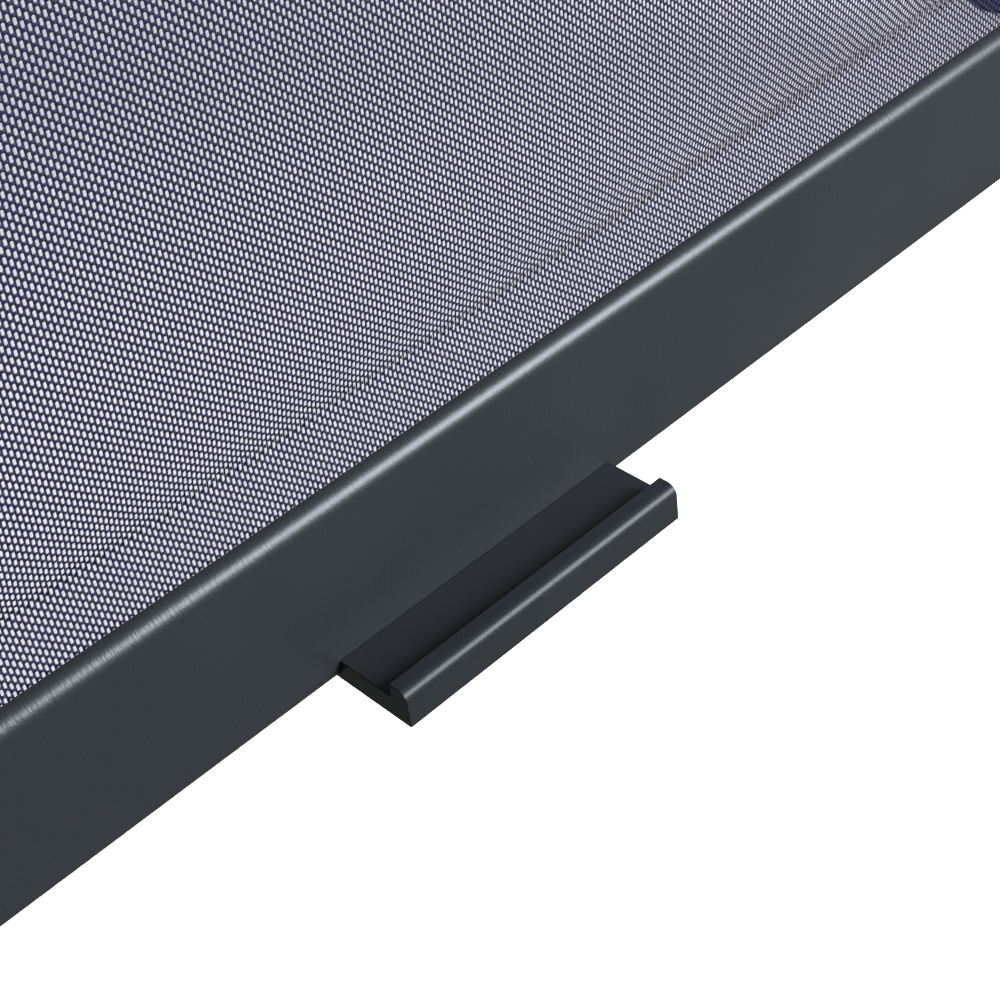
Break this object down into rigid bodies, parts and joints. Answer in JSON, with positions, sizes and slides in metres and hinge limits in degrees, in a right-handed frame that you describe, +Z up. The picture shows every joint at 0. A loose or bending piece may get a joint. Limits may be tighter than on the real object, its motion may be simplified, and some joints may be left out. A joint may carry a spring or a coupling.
{
  "type": "fireplace screen",
  "caption": "Free-standing fireplace screen: fine metal mesh clamped behind a mitred powder-coated frame, with a ledge pull on the bottom rail and two flat bar feet.",
  "frame": {"origin": "on the floor, under the middle of the screen", "axes": "+X along the screen's width, +Z up, -Y towards the room (the face and the pull handle)"},
  "size_m": [0.78, 0.2, 0.5449],
  "materials": {
    "powder_coat": "matte charcoal powder coat with a fine texture",
    "mesh": "black coated fine metal mesh",
    "zinc": "zinc-plated steel",
    "gasket": "black woven glass tape",
    "rubber": "matte black rubber"
  },
  "bodies": {
    "root": {"bottom_rail": "powder_coat", "right_stile": "powder_coat", "top_rail": "powder_coat", "left_stile": "powder_coat", "gasket_bottom": "gasket", "clamp_bar_bottom": "powder_coat", "clamp_screw_bottom_1": "zinc", "clamp_screw_bottom_2": "zinc", "clamp_screw_bottom_3": "zinc", "clamp_screw_bottom_4": "zinc", "gasket_right": "gasket", "clamp_bar_right": "powder_coat", "clamp_screw_right_1": "zinc", "clamp_screw_right_2": "zinc", "clamp_screw_right_3": "zinc", "gasket_top": "gasket", "clamp_bar_top": "powder_coat", "clamp_screw_top_1": "zinc", "clamp_screw_top_2": "zinc", "clamp_screw_top_3": "zinc", "clamp_screw_top_4": "zinc", "gasket_left": "gasket", "clamp_bar_left": "powder_coat", "clamp_screw_left_1": "zinc", "clamp_screw_left_2": "zinc", "clamp_screw_left_3": "zinc", "mesh_panel": "mesh", "corner_plate_lower_left": "zinc", "corner_screw_lower_left_1": "zinc", "corner_screw_lower_left_2": "zinc", "corner_plate_lower_right": "zinc", "corner_screw_lower_right_1": "zinc", "corner_screw_lower_right_2": "zinc", "corner_plate_upper_left": "zinc", "corner_screw_upper_left_1": "zinc", "corner_screw_upper_left_2": "zinc", "corner_plate_upper_right": "zinc", "corner_screw_upper_right_1": "zinc", "corner_screw_upper_right_2": "zinc", "pull_handle": "powder_coat", "handle_screw_1": "zinc", "handle_screw_2": "zinc", "left_foot": "powder_coat", "left_foot_spacer": "powder_coat", "left_nut_plate": "zinc", "left_foot_bolt_1": "zinc", "left_foot_bolt_2": "zinc", "left_foot_pad_front": "rubber", "left_foot_pad_rear": "rubber", "right_foot": "powder_coat", "right_foot_spacer": "powder_coat", "right_nut_plate": "zinc", "right_foot_bolt_1": "zinc", "right_foot_bolt_2": "zinc", "right_foot_pad_front": "rubber", "right_foot_pad_rear": "rubber"}
  },
  "joints": []
}
